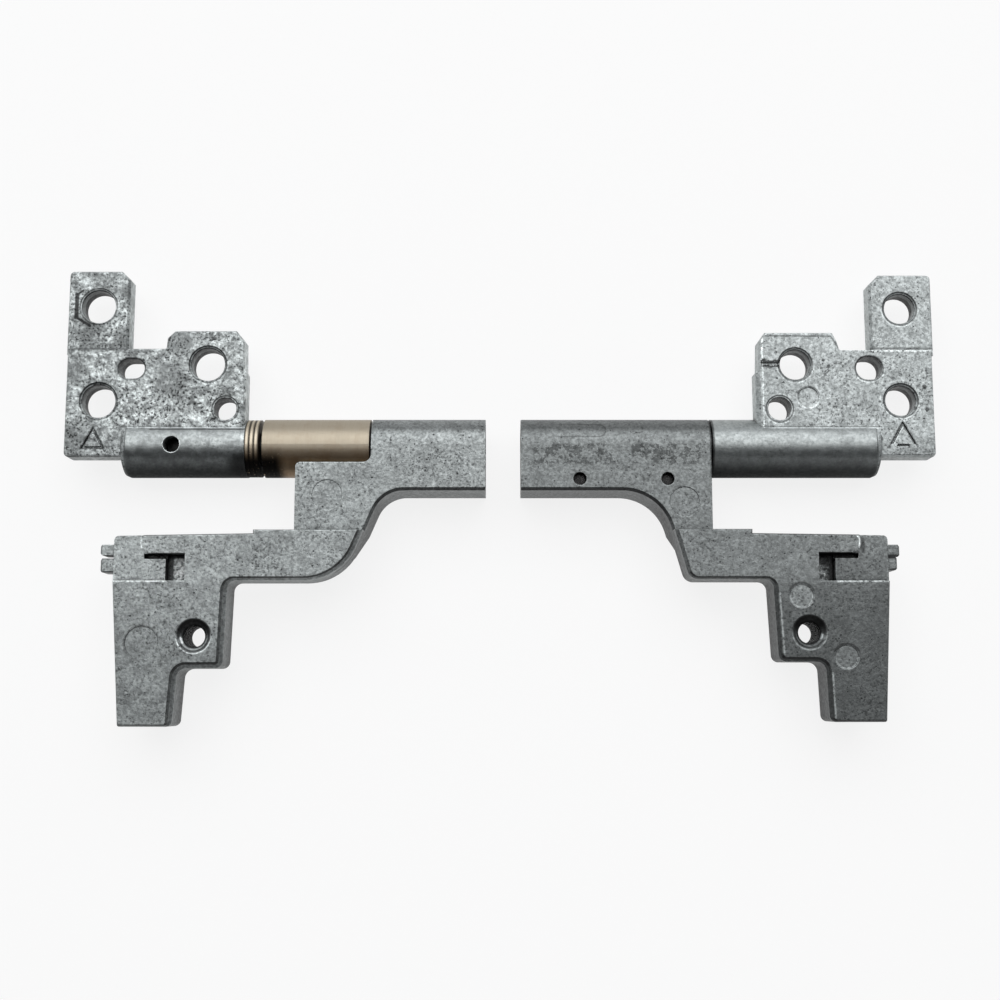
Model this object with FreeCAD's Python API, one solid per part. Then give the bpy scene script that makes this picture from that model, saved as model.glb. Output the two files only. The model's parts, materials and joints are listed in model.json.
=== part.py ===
import FreeCAD, Part
import math
import os

# Pair of laptop hinges, millimetres, +Z up. The pair lies flat and open, as it does when
# the lid is swung right round in line with the base. The hinge axis runs along X.
# Each hinge is drawn as the right-hand one, with X counted outwards from the middle of
# the pair and Y and Z counted from the hinge axis. The left one is then mirrored.

V = FreeCAD.Vector

# Barrel and shaft
BARREL_R = 3.25
BARREL_ROUND = 0.70
ROUND_STEPS = 2
SHAFT_R = 1.75
SHAFT_PRESS_R = 1.95
PRESS_LEAD = 0.30
PRESS_WALL = 1.60
BORE_SPARE = 0.10
TIP_RECESS = 0.35
TIP_STUB = 0.30
RUNNING_GAP = 0.07
SEAT_GAP = 0.02

# Lid plate
PLATE_BACK = 0.0
PLATE_FRONT = 2.60
EAR_FRONT = 2.25
PLATE_LOW = -1.30
PLATE_EDGE = 0.18
EAR_IN_EDGE = 0.30
EAR_OVERLAP = 0.60
PLATE_CORNER = 0.55
NOTCH_CORNER = 0.25
SHOULDER_CORNER = 0.20
HOLE_SINK = 0.22
DRAFT = 0.01

# Housing, leg and the leaf that holds the arm and the screw block
HOUSING_LOW = -5.10
HOUSING_EDGE = 0.30
LEG_START = 4.0
LEG_ROOT = 2.0
LEG_TUCK = 1.6
SADDLE_EDGE = 0.50
FOLD_GAP = 0.30
LEAF_BACK = PLATE_BACK + FOLD_GAP
LEAF_THICK = 4.90
LEAF_FRONT = LEAF_BACK + LEAF_THICK
ARM_INNER_R = 0.95
BLOCK_OUTER_R = 0.80
TOE_INNER_R = 1.05
TOE_OUTER_R = 0.70
BLOCK_CORNER = 0.25
ARM_END_R = 0.50
PAD_EDGE = 0.12
RECESS_DEPTH = 0.90
SLOT_DEPTH = 1.80
SLOT_SPARE = 0.05
POCKET_DEPTH = 2.30
BAR_END_R = 0.95
LUG_Z = (1.20, 3.80)
LUG_EDGE = 0.20
LUG_ROOT = 1.0
SCREW_BORE_R = 1.15
SCREW_SINK_R = 1.80
SCREW_SINK_DEPTH = 0.55
MARK_DEPTH = 0.08
MARK_SIDES = 16
GROOVE_WIDE = 0.26
GROOVE_DEPTH = 0.18

# Friction clips in the housing
HOUSING_BORE_R = 2.45
CLIP_OUT_R = HOUSING_BORE_R - SEAT_GAP
CLIP_IN_R = SHAFT_R + RUNNING_GAP
CLIP_LEAD = 0.25
CLIP_END = 0.30
CLIP_SPACE = 0.10
TAIL_HALF = 0.32
TAIL_LOW = -4.25
TAIL_ROOT = 0.12
TAIL_SLIT = 1.60
SLIT_Y = (-3.0, -0.8)
WASHER_R = 2.30
WASHER_THICK = 0.50

# Left hinge, X outwards
LEFT = {
    "plate_out": 48.00,
    "ear_out": 48.20,
    "ear_in": 41.35,
    "ear_top": 19.85,
    "ear_low": 10.90,
    "ear_cut_out": 0.50,
    "ear_cut_in": 1.00,
    "notch_in": 37.05,
    "tab_shoulder": (36.95, 12.10),
    "tab_start": (36.10, 12.91),
    "tab_end": (29.30, 12.91),
    "tab_cut": (28.38, 11.80),
    "side_step": (28.32, 8.65),
    "side_foot": (28.12, 8.20),
    "side_low": 1.00,
    "ear_hole": (44.78, 15.75, 1.95),
    "low_hole": (44.35, 4.92, 2.17),
    "tab_hole": (32.35, 9.08, 2.12),
    "hole_r": 1.85,
    "small_hole": (30.30, 4.02),
    "small_r": 1.24,
    "oval": (40.77, 8.57),
    "oval_r": 1.12,
    "oval_half": 0.32,
    "lip": 0.30,
    "mark_apex": (44.80, 2.05),
    "mark_half": 1.32,
    "mark_low": -0.42,
    "mark_dash": 0.0,
    "plate_root": 29.05,
    "barrel_in": 28.05,
    "barrel_out": 41.75,
    "housing_in": 1.60,
    "housing_out": 14.12,
    "clips": 2,
    "curve_corner": (12.80, 3.50),
    "arm_corner": (17.10, 6.00),
    "arm_low": -15.07,
    "leg_out": 22.35,
    "pad_out": 26.55,
    "pad_top": -9.60,
    "arm_top": -10.00,
    "arm_top_end": -10.25,
    "arm_end": 41.50,
    "block_top_out": 41.45,
    "block_low_out": 40.40,
    "block_low": -30.55,
    "block_in_top": 29.15,
    "block_in_low": 29.45,
    "step": -24.40,
    "toe_in_top": 34.25,
    "toe_in_low": 34.65,
    "bevel": 0.62,
    "bar_end": 38.27,
    "bar_low": -12.20,
    "slot_low": -12.75,
    "recess_low": -15.15,
    "pocket": (33.65, 35.90),
    "screw": (32.50, -21.05),
    "lugs": ((1.60, -11.15, -12.30), (1.55, -12.65, -14.15)),
    "block_marks": ((38.00, -21.75, 1.80),),
    "leg_marks": ((18.85, -5.60, 1.68),),
    "plate_marks": (),
}

# Right hinge, X outwards
RIGHT = {
    "plate_out": 48.00,
    "ear_out": 48.20,
    "ear_in": 41.22,
    "ear_top": 19.40,
    "ear_low": 10.78,
    "ear_cut_out": 0.50,
    "ear_cut_in": 1.15,
    "notch_in": 37.75,
    "tab_shoulder": (37.48, 11.75),
    "tab_start": (36.98, 12.76),
    "tab_end": (29.45, 12.76),
    "tab_cut": (28.77, 11.80),
    "side_step": (28.67, 8.65),
    "side_foot": (28.32, 8.20),
    "side_low": 1.00,
    "ear_hole": (44.60, 15.50, 1.92),
    "low_hole": (44.25, 4.97, 1.98),
    "tab_hole": (32.70, 9.05, 1.88),
    "hole_r": 1.68,
    "small_hole": (30.85, 4.05),
    "small_r": 1.28,
    "oval": (40.87, 8.62),
    "oval_r": 1.30,
    "oval_half": 0.15,
    "lip": 0.50,
    "mark_apex": (44.35, 2.65),
    "mark_half": 1.55,
    "mark_low": -0.15,
    "mark_dash": 0.65,
    "plate_root": 29.40,
    "barrel_in": 23.35,
    "barrel_out": 41.98,
    "housing_in": 2.30,
    "housing_out": 23.11,
    "clips": 3,
    "curve_corner": (17.50, 5.50),
    "arm_corner": (20.30, 1.20),
    "arm_low": -14.95,
    "leg_out": 23.10,
    "pad_out": 27.10,
    "pad_top": -9.55,
    "arm_top": -10.00,
    "arm_top_end": -10.20,
    "arm_end": 41.70,
    "block_top_out": 41.65,
    "block_low_out": 40.80,
    "block_low": -30.05,
    "block_in_top": 29.20,
    "block_in_low": 29.60,
    "step": -23.70,
    "toe_in_top": 34.55,
    "toe_in_low": 34.80,
    "bevel": 0.45,
    "bar_end": 38.55,
    "bar_low": -12.10,
    "slot_low": -12.65,
    "recess_low": -15.15,
    "pocket": (34.05, 36.00),
    "screw": (32.85, -20.65),
    "lugs": ((1.40, -11.15, -12.45), (1.10, -12.45, -13.90)),
    "block_marks": ((32.10, -16.80, 1.27), (36.70, -23.25, 1.27)),
    "leg_marks": ((20.10, -6.35, 1.65),),
    "plate_marks": ((34.05, 5.32, 1.15),),
}

# Left hinge: open saddle, sleeve, rings against the barrel, and the barrel's cross pin
SADDLE_TOP = -2.00
SADDLE_CORNER_R = 0.90
SLEEVE_LEAD = 0.23
SLEEVE_KEY = (1.65, 4.50)
SLEEVE_KEY_HALF = 0.80
SLEEVE_KEY_LOW = -4.10
SLEEVE_KEY_TOP = -2.40
RING_COUNT = 3
RING_THICK = 0.46
RING_SPACE = 0.05
RING_R = 3.20
RING_GROOVE = 0.42
LID_PIN_REACH = 7.95
LID_PIN_R = 0.90
LID_PIN_TOP = 1.00
LID_PIN_LOW = -1.30

# Right hinge: two lock pins, the thin washer and a nick by the tab's hole
LOCK_PIN_X = (8.72, 18.31)
LOCK_PIN_Y = -3.84
LOCK_PIN_R = 0.72
LOCK_PIN_TOP = 2.10
SHIM_THICK = 0.16
SHIM_R = 2.80
NICK_X = (28.90, 31.60)
NICK_Y = 9.04
NICK_HALF = 0.24

# Cutters start or end this far outside what they cut
CLEAR = 1.0
ABOVE = LEAF_FRONT + CLEAR

# Where the axis is in the frame: the middle of the pair's box, standing on Z = 0
AXIS_Y = -(LEFT["block_low"] + LEFT["ear_top"]) / 2
AXIS_Z = BARREL_R


def corner(before, point, after, radius):
    """Start, middle and end of the arc that rounds a corner."""
    a = V(*before).sub(V(*point))
    b = V(*after).sub(V(*point))
    a.normalize()
    b.normalize()
    half = a.getAngle(b) / 2
    reach = radius / math.tan(half)
    mid = a.add(b)
    mid.normalize()
    p = V(*point)
    depth = radius / math.sin(half) - radius
    return p.add(a.multiply(reach)), p.add(mid.multiply(depth)), p.add(b.multiply(reach))


def outline_edges(points, height=0.0):
    """Lines and corner arcs through (x, y) or (x, y, corner radius) points, in order."""
    flat = [(p[0], p[1], height) for p in points]
    radii = [p[2] if len(p) > 2 else 0 for p in points]
    count = len(points)
    stops = []
    for i in range(count):
        if radii[i] > 0:
            stops.append(corner(flat[i - 1], flat[i], flat[(i + 1) % count], radii[i]))
        else:
            stops.append((V(*flat[i]),))
    edges = []
    for i in range(count):
        here = stops[i]
        there = stops[(i + 1) % count]
        if len(here) == 3:
            edges.append(Part.Arc(here[0], here[1], here[2]).toShape())
        if here[-1].distanceToPoint(there[0]) > 1e-6:
            edges.append(Part.LineSegment(here[-1], there[0]).toShape())
    return edges


def outline(points):
    """Closed wire through the points, in the plane Z = 0."""
    return Part.Wire(outline_edges(points))


def drawn_in(points, bevels):
    """The outline drawn in by one distance for each edge; edge i starts at point i."""
    count = len(points)
    pairs = [(points[i], points[(i + 1) % count]) for i in range(count)]
    area = sum(p[0] * q[1] - q[0] * p[1] for p, q in pairs)
    turn = 1 if area > 0 else -1
    lines = []
    for (p, q), bevel in zip(pairs, bevels):
        long = math.hypot(q[0] - p[0], q[1] - p[1])
        dx = (q[0] - p[0]) / long
        dy = (q[1] - p[1]) / long
        shift = bevel * turn
        lines.append((p[0] - dy * shift, p[1] + dx * shift, dx, dy))
    drawn = []
    for i in range(count):
        ax, ay, adx, ady = lines[i - 1]
        bx, by, bdx, bdy = lines[i]
        cross = adx * bdy - ady * bdx
        along = ((bx - ax) * bdy - (by - ay) * bdx) / cross
        spot = [ax + adx * along, ay + ady * along]
        if len(points[i]) > 2 and points[i][2] > 0:
            mean = (bevels[i - 1] + bevels[i]) / 2
            outward = cross * turn > 0
            radius = points[i][2] - mean if outward else points[i][2] + mean
            spot.append(max(radius, 0.03))
        drawn.append(tuple(spot))
    return drawn


def slope(below, above):
    """The sloping face between an edge of an outline and the same edge drawn in."""
    start = below.Vertexes[0].Point
    end = below.Vertexes[-1].Point
    inner_start = above.Vertexes[0].Point
    inner_end = above.Vertexes[-1].Point
    if below.Curve.TypeId == "Part::GeomLine":
        return Part.Face(Part.makePolygon([start, end, inner_end, inner_start, start]))
    return Part.makeRuledSurface(below, above)


def bevelled(points, low, high, bevels):
    """A slab whose upper edges are cut back at 45 degrees, each by its own amount."""
    deep = max(bevels)
    below = outline_edges(points, high - deep)
    above = outline_edges(drawn_in(points, bevels), high)
    faces = [slope(b, a) for b, a in zip(below, above)]
    faces.append(Part.Face(Part.Wire(below)))
    faces.append(Part.Face(Part.Wire(above)))
    shell = Part.Shell(faces)
    shell.sewShape()
    top = Part.Solid(shell)
    if top.Volume < 0:
        top.reverse()
    return slab(points, low, high - deep).fuse(top).removeSplitter()


def slab(points, low, high):
    """The outline as a solid from one height to another."""
    solid = Part.Face(outline(points)).extrude(V(0, 0, high - low))
    solid.translate(V(0, 0, low))
    return solid


def stadium(x0, x1, y0, y1):
    """Outline points of a slot with half-round ends, along X or along Y."""
    r = min(x1 - x0, y1 - y0) / 2
    return [(x0, y0, r), (x1, y0, r), (x1, y1, r), (x0, y1, r)]


def bar_along_x(points, start, end):
    """A profile of (y, z) points carried along X."""
    solid = Part.Face(outline(points)).extrude(V(0, 0, end - start))
    solid.rotate(V(0, 0, 0), V(1, 1, 1), 120)
    solid.translate(V(start, 0, 0))
    return solid


def box(x0, x1, y0, y1, z0, z1):
    """A plain block between two corners."""
    return Part.makeBox(x1 - x0, y1 - y0, z1 - z0, V(x0, y0, z0))


def rod(radius, start, end):
    """A cylinder on the hinge axis."""
    return Part.makeCylinder(radius, end - start, V(start, 0, 0), V(1, 0, 0))


def round_ended_rod(radius, start, end, edge):
    """A bar on the axis whose far rim is rounded in a few short cones."""
    profile = [V(start, 0, 0), V(start, 0, -radius)]
    for i in range(ROUND_STEPS + 1):
        turn = math.pi / 2 * i / ROUND_STEPS
        out = end - edge + edge * math.sin(turn)
        profile.append(V(out, 0, edge - radius - edge * math.cos(turn)))
    profile.append(V(end, 0, 0))
    profile.append(profile[0])
    return Part.Face(Part.makePolygon(profile)).revolve(V(0, 0, 0), V(1, 0, 0), 360)


def pin(radius, x, y, low, high):
    """A cylinder along Z."""
    return Part.makeCylinder(radius, high - low, V(x, y, low), V(0, 0, 1))


def sink(x, y, face, radius, wider, depth):
    """The cone that opens a hole at its face."""
    spare = 0.2
    grow = (wider - radius) / depth
    top = wider + grow * spare
    return Part.makeCone(radius, top, depth + spare, V(x, y, face - depth), V(0, 0, 1))


def mould_marks(marks, face):
    """Shallow round recesses left by the mould's ejector pins, with few sides each."""
    cutters = []
    for x, y, radius in marks:
        turns = [2 * math.pi * i / MARK_SIDES for i in range(MARK_SIDES + 1)]
        rim = [V(x + radius * math.cos(t), y + radius * math.sin(t), face - MARK_DEPTH) for t in turns]
        cutters.append(Part.Face(Part.makePolygon(rim)).extrude(V(0, 0, ABOVE)))
    return cutters


def triangle_groove(side):
    """The plain triangle cast into the plate's corner, as a groove."""
    apex_x, apex_y = side["mark_apex"]
    low = side["mark_low"]
    half = side["mark_half"]
    corners = [(apex_x, apex_y), (apex_x + half, low), (apex_x - half, low)]
    middle = (apex_x, low + (apex_y - low) / 3)
    keep_part = 1 - GROOVE_WIDE * 3 / (apex_y - low)
    inner = [
        (middle[0] + (x - middle[0]) * keep_part, middle[1] + (y - middle[1]) * keep_part)
        for x, y in corners
    ]
    floor = PLATE_FRONT - GROOVE_DEPTH
    groove = slab(corners, floor, ABOVE).cut(slab(inner, floor, ABOVE))
    if side["mark_dash"] > 0:
        base_top = low + GROOVE_WIDE
        wide = half * 2
        groove = groove.cut(box(apex_x - wide, apex_x + wide, low - CLEAR, base_top, 0, ABOVE * 2))
        dash = side["mark_dash"]
        groove = groove.fuse(box(apex_x - dash, apex_x + dash, low, base_top, floor, ABOVE))
    return groove


def lid_plate(side):
    """The plate with its tab, bevelled round the front face."""
    foot_x, foot_y = side["side_foot"]
    points = [
        (side["plate_out"], PLATE_LOW, PLATE_CORNER),
        (side["plate_out"], side["ear_low"]),
        (side["notch_in"], side["ear_low"], NOTCH_CORNER),
        (side["tab_shoulder"][0], side["tab_shoulder"][1], SHOULDER_CORNER),
        (side["tab_start"][0], side["tab_start"][1], NOTCH_CORNER),
        side["tab_end"],
        side["tab_cut"],
        side["side_step"],
        (foot_x, foot_y),
        (foot_x + DRAFT, side["side_low"]),
        (side["plate_root"], side["side_low"]),
        (side["plate_root"], PLATE_LOW),
    ]
    edge = PLATE_EDGE
    lip = side["lip"]
    bevels = [edge, edge * 0.7, edge, edge, edge, edge, edge, lip, lip, 0, 0, edge]
    return bevelled(points, PLATE_BACK, PLATE_FRONT, bevels)


def lid_ear(side):
    """The slightly lower ear at the plate's outer corner."""
    low = side["ear_low"] - EAR_OVERLAP
    points = [
        (side["ear_out"], low),
        (side["ear_out"], side["ear_top"], side["ear_cut_out"]),
        (side["ear_in"] + side["ear_cut_in"], side["ear_top"]),
        (side["ear_in"], side["ear_top"] - side["ear_cut_in"]),
        (side["ear_in"] + DRAFT, low),
    ]
    edge = PLATE_EDGE
    return bevelled(points, PLATE_BACK, EAR_FRONT, [edge, edge, edge, EAR_IN_EDGE, 0])


def lid_holes(side):
    """Everything that is cut through or into the plate's front."""
    bore = side["hole_r"]
    cutters = []
    for name, face in (("ear_hole", EAR_FRONT), ("low_hole", PLATE_FRONT), ("tab_hole", PLATE_FRONT)):
        x, y, mouth = side[name]
        cutters.append(pin(bore, x, y, -CLEAR, ABOVE))
        cutters.append(sink(x, y, face, bore, mouth, HOLE_SINK))
    small_x, small_y = side["small_hole"]
    oval_x, oval_y = side["oval"]
    oval_r = side["oval_r"]
    half = side["oval_half"] + oval_r
    oval = stadium(oval_x - half, oval_x + half, oval_y - oval_r, oval_y + oval_r)
    return cutters + [
        pin(side["small_r"], small_x, small_y, -CLEAR, ABOVE),
        slab(oval, -CLEAR, ABOVE),
        triangle_groove(side),
    ] + mould_marks(side["plate_marks"], PLATE_FRONT)


def lid_bracket(side):
    """Plate with its ear and the barrel that grips the shaft, one casting."""
    barrel = round_ended_rod(BARREL_R, side["barrel_in"], side["barrel_out"], BARREL_ROUND)
    body = lid_plate(side).fuse(lid_ear(side)).fuse(barrel).removeSplitter()
    for cutter in lid_holes(side):
        body = body.cut(cutter)
    bore_end = side["barrel_out"] - PRESS_WALL + BORE_SPARE
    return body.cut(rod(SHAFT_PRESS_R + SEAT_GAP, side["barrel_in"] - CLEAR * 3, bore_end))


def housing(side):
    """The closed tube round the friction clips, half round above and square below."""
    profile = [
        (0.0, BARREL_R),
        (BARREL_R, BARREL_R, BARREL_R),
        (BARREL_R, -BARREL_R, BARREL_R),
        (0.0, -BARREL_R),
        (HOUSING_LOW, -BARREL_R),
        (HOUSING_LOW, BARREL_R - HOUSING_EDGE),
        (HOUSING_LOW + HOUSING_EDGE, BARREL_R),
    ]
    return bar_along_x(profile, side["housing_in"], side["housing_out"])


def leg_slope(side):
    """How far out the leg's inner edge moves for each millimetre down."""
    return (side["arm_corner"][0] - side["curve_corner"][0]) / (HOUSING_LOW - side["arm_low"])


def leg_foot(side):
    """How far out the leg's inner edge is where the arm starts."""
    return side["curve_corner"][0] + leg_slope(side) * (HOUSING_LOW - side["pad_top"])


def leg(side, saddle):
    """The web from the housing to the arm, as thick as the housing."""
    curve_x, curve_r = side["curve_corner"]
    tuck = side["arm_top"] - LEG_ROOT
    foot_x = leg_foot(side)
    start = side["housing_in"] + LEG_START
    leg_top = SADDLE_TOP if saddle else HOUSING_LOW + LEG_ROOT
    points = [
        (start, HOUSING_LOW + LEG_ROOT),
        (start, HOUSING_LOW),
        (curve_x, HOUSING_LOW, curve_r),
        (foot_x, side["pad_top"]),
        (foot_x + LEG_TUCK, tuck),
        (side["leg_out"], tuck),
        (side["leg_out"], leg_top, SADDLE_EDGE if saddle else 0),
    ]
    if saddle:
        wall = side["housing_out"]
        points += [
            (wall, SADDLE_TOP, SADDLE_CORNER_R),
            (wall, SADDLE_TOP + LEG_ROOT),
            (wall - LEG_ROOT, SADDLE_TOP + LEG_ROOT),
            (wall - LEG_ROOT, HOUSING_LOW + LEG_ROOT),
        ]
    bevels = [0] * len(points)
    bevels[1] = HOUSING_EDGE
    bevels[2] = HOUSING_EDGE
    return bevelled(points, -BARREL_R, BARREL_R, bevels)


def leaf(side):
    """Arm and screw block, one step prouder than the leg."""
    corner_x, corner_r = side["arm_corner"]
    low = side["block_low"]
    end = side["arm_end"]
    points = [
        (leg_foot(side), side["pad_top"]),
        (corner_x, side["arm_low"], corner_r),
        (side["block_in_top"] - DRAFT, side["arm_low"] - DRAFT, ARM_INNER_R),
        (side["block_in_low"], side["step"], BLOCK_OUTER_R),
        (side["toe_in_top"], side["step"] - DRAFT, TOE_INNER_R),
        (side["toe_in_low"], low, TOE_OUTER_R),
        (side["block_low_out"], low + DRAFT, BLOCK_CORNER),
        (side["block_top_out"], side["recess_low"] - DRAFT),
        (end, side["recess_low"] + DRAFT),
        (end - DRAFT, side["arm_top_end"], ARM_END_R),
        (side["pad_out"], side["arm_top"]),
        (side["pad_out"] + DRAFT, side["pad_top"]),
    ]
    wide = side["bevel"]
    thin = PLATE_EDGE
    inner = [wide * 0.8, wide * 0.6, wide, wide, wide]
    outer = [thin, thin, thin, thin, thin, thin, PAD_EDGE]
    return bevelled(points, LEAF_BACK, LEAF_FRONT, inner + outer)


def leaf_cuts(side):
    """The recess round the bar's end, the slot under the bar and the deep pocket."""
    pocket_in, pocket_out = side["pocket"]
    bar_end = side["bar_end"]
    bar_low = side["bar_low"]
    recess_low = side["recess_low"]
    outside = side["arm_end"] + CLEAR
    above_arm = side["arm_top"] + CLEAR
    recess = [
        (pocket_out, recess_low),
        (outside, recess_low),
        (outside, above_arm),
        (bar_end, above_arm),
        (bar_end, bar_low, BAR_END_R),
        (pocket_out, bar_low),
    ]
    slot_end = bar_end - SLOT_SPARE
    return [
        slab(recess, LEAF_FRONT - RECESS_DEPTH, ABOVE),
        box(pocket_in, slot_end, side["slot_low"], bar_low, LEAF_FRONT - SLOT_DEPTH, ABOVE),
        box(pocket_in, pocket_out, recess_low, bar_low, LEAF_FRONT - POCKET_DEPTH, ABOVE),
    ]


def lug(side, reach, top, low):
    """A small locating tooth on the arm's end."""
    tip = side["arm_end"] + reach
    body = box(side["arm_end"] - LUG_ROOT, tip, low, top, LUG_Z[0], LUG_Z[1])
    rim = [e for e in body.Edges if all(abs(v.Point.x - tip) < 1e-6 for v in e.Vertexes)]
    return body.makeChamfer(LUG_EDGE, rim)


def housing_cuts(side, saddle):
    """The clips' bore and the slit that holds their tails."""
    start = side["housing_in"] - CLEAR
    end = side["housing_out"] + (0 if saddle else CLEAR)
    half = TAIL_HALF + SEAT_GAP
    return [
        rod(HOUSING_BORE_R, start, end),
        box(start, end, TAIL_LOW - SEAT_GAP, -CLEAR, -half, half),
    ]


def saddle_cuts(side):
    """The half-round bed of the sleeve and the keyway under it."""
    key_from = side["housing_out"] + SLEEVE_LEAD + SLEEVE_KEY[0]
    key_to = key_from + SLEEVE_KEY[1]
    half = SLEEVE_KEY_HALF + SEAT_GAP
    keyway = box(
        key_from - SEAT_GAP,
        key_to + SEAT_GAP,
        SLEEVE_KEY_LOW - SEAT_GAP,
        SLEEVE_KEY_TOP + SEAT_GAP,
        -half,
        half,
    )
    return [rod(BARREL_R + SEAT_GAP, side["housing_out"], side["leg_out"] + CLEAR), keyway]


def screw_cuts(side):
    """The tapped hole with its sink."""
    x, y = side["screw"]
    return [
        pin(SCREW_BORE_R, x, y, -CLEAR, ABOVE),
        sink(x, y, LEAF_FRONT, SCREW_BORE_R, SCREW_SINK_R, SCREW_SINK_DEPTH),
    ]


def base_bracket(side, saddle):
    """Housing, leg, arm and screw block, one casting."""
    arm = leaf(side)
    for cutter in leaf_cuts(side):
        arm = arm.cut(cutter)
    teeth = [lug(side, *sizes) for sizes in side["lugs"]]
    body = housing(side).fuse([leg(side, saddle), arm] + teeth).removeSplitter()
    cuts = housing_cuts(side, saddle) + screw_cuts(side)
    cuts += mould_marks(side["leg_marks"], BARREL_R)
    cuts += mould_marks(side["block_marks"], LEAF_FRONT)
    if saddle:
        cuts += saddle_cuts(side)
    for cutter in cuts:
        body = body.cut(cutter)
    return body


def friction_clip(start, end):
    """A spring band round the shaft, with a tail that the housing's slit holds."""
    band = rod(CLIP_OUT_R, start, end).cut(rod(CLIP_IN_R, start - CLEAR, end + CLEAR))
    gap_top = TAIL_HALF + TAIL_SLIT
    gap = box(start - CLEAR, end + CLEAR, SLIT_Y[0], SLIT_Y[1], TAIL_HALF, gap_top)
    tail = box(start, end, TAIL_LOW, -CLIP_IN_R - TAIL_ROOT, -TAIL_HALF, TAIL_HALF)
    return band.cut(gap).fuse(tail).removeSplitter()


def ring(outer, inner, start, end):
    """A flat ring on the shaft."""
    return rod(outer, start, end).cut(rod(inner, start - CLEAR, end + CLEAR))


def shaft(side, tip):
    """The thicker end pressed in the lid's barrel, and the plain journal."""
    press_start = side["barrel_in"] + PRESS_LEAD
    body = rod(SHAFT_PRESS_R, press_start, side["barrel_out"] - PRESS_WALL)
    return body.fuse(rod(SHAFT_R, tip, press_start)).removeSplitter()


def clutch(side):
    """Shaft, push-on washer and friction clips by name, as both hinges have them."""
    tip = side["housing_in"] + TIP_RECESS
    washer_from = tip + TIP_STUB
    washer_to = washer_from + WASHER_THICK
    parts = {"shaft": shaft(side, tip)}
    parts["retaining_washer"] = ring(WASHER_R, SHAFT_R + SEAT_GAP, washer_from, washer_to)
    first = washer_to + CLIP_LEAD
    count = side["clips"]
    room = side["housing_out"] - CLIP_END - first
    long = (room - CLIP_SPACE * (count - 1)) / count
    for i in range(count):
        start = first + i * (long + CLIP_SPACE)
        parts["friction_clip_%d" % (i + 1)] = friction_clip(start, start + long)
    return parts


def sleeve(side, end):
    """The bronze sleeve in the saddle, with the key that keeps it from turning."""
    start = side["housing_out"] + SLEEVE_LEAD
    body = ring(BARREL_R, SHAFT_R + RUNNING_GAP, start, end)
    key_from = start + SLEEVE_KEY[0]
    half = SLEEVE_KEY_HALF
    key = box(key_from, key_from + SLEEVE_KEY[1], SLEEVE_KEY_LOW, SLEEVE_KEY_TOP, -half, half)
    return body.fuse(key).removeSplitter()


def left_hinge():
    """Every piece of the left hinge by name."""
    parts = clutch(LEFT)
    pin_x = LEFT["barrel_in"] + LID_PIN_REACH
    pin_hole = pin(LID_PIN_R, pin_x, 0, LID_PIN_LOW - SEAT_GAP, ABOVE)
    parts["lid_bracket"] = lid_bracket(LEFT).cut(pin_hole)
    parts["shaft"] = parts["shaft"].cut(pin_hole)
    parts["lid_pin"] = pin(LID_PIN_R - SEAT_GAP, pin_x, 0, LID_PIN_LOW, LID_PIN_TOP)
    parts["base_bracket"] = base_bracket(LEFT, True)
    end = LEFT["barrel_in"] - RING_SPACE
    for i in range(RING_COUNT):
        parts["spring_ring_%d" % (i + 1)] = ring(RING_R, SHAFT_R + SEAT_GAP, end - RING_THICK, end)
        end -= RING_THICK + RING_SPACE
    parts["friction_sleeve"] = sleeve(LEFT, end + RING_SPACE - RING_GROOVE)
    return parts


def right_hinge():
    """Every piece of the right hinge by name."""
    parts = clutch(RIGHT)
    nick_low = NICK_Y - NICK_HALF
    nick_top = NICK_Y + NICK_HALF
    nick = box(NICK_X[0], NICK_X[1], nick_low, nick_top, PLATE_FRONT - GROOVE_DEPTH, ABOVE)
    parts["lid_bracket"] = lid_bracket(RIGHT).cut(nick)
    base = base_bracket(RIGHT, False)
    for i, x in enumerate(LOCK_PIN_X):
        base = base.cut(pin(LOCK_PIN_R, x, LOCK_PIN_Y, 0, ABOVE))
        low = TAIL_HALF + SEAT_GAP
        lock = pin(LOCK_PIN_R - SEAT_GAP, x, LOCK_PIN_Y, low, LOCK_PIN_TOP)
        parts["lock_pin_%d" % (i + 1)] = lock
    parts["base_bracket"] = base
    middle = (RIGHT["housing_out"] + RIGHT["barrel_in"]) / 2
    shim_from = middle - SHIM_THICK / 2
    parts["thrust_shim"] = ring(SHIM_R, SHAFT_R + SEAT_GAP, shim_from, shim_from + SHIM_THICK)
    return parts


def placed(shape, mirrored):
    """A finished piece, moved into the frame."""
    if mirrored:
        shape = shape.mirror(V(0, 0, 0), V(1, 0, 0))
    shape = shape.copy()
    shape.translate(V(0, AXIS_Y, AXIS_Z))
    return shape


pieces = {}
for name, shape in left_hinge().items():
    pieces["left_" + name] = placed(shape, True)
for name, shape in right_hinge().items():
    pieces["right_" + name] = placed(shape, False)

os.makedirs("parts", exist_ok=True)
for name, shape in pieces.items():
    if len(shape.Solids) != 1 or not shape.isValid():
        print("CHECK", name, "solids", len(shape.Solids), "valid", shape.isValid())
    solid = shape.Solids[0]
    solid.exportStep(os.path.join("parts", name + ".step"))
    low = solid.BoundBox
    print(
        "%-26s %7.2f %7.2f  %7.2f %7.2f  %7.2f %7.2f  %8.2f mm3"
        % (name, low.XMin, low.XMax, low.YMin, low.YMax, low.ZMin, low.ZMax, solid.Volume)
    )
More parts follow.
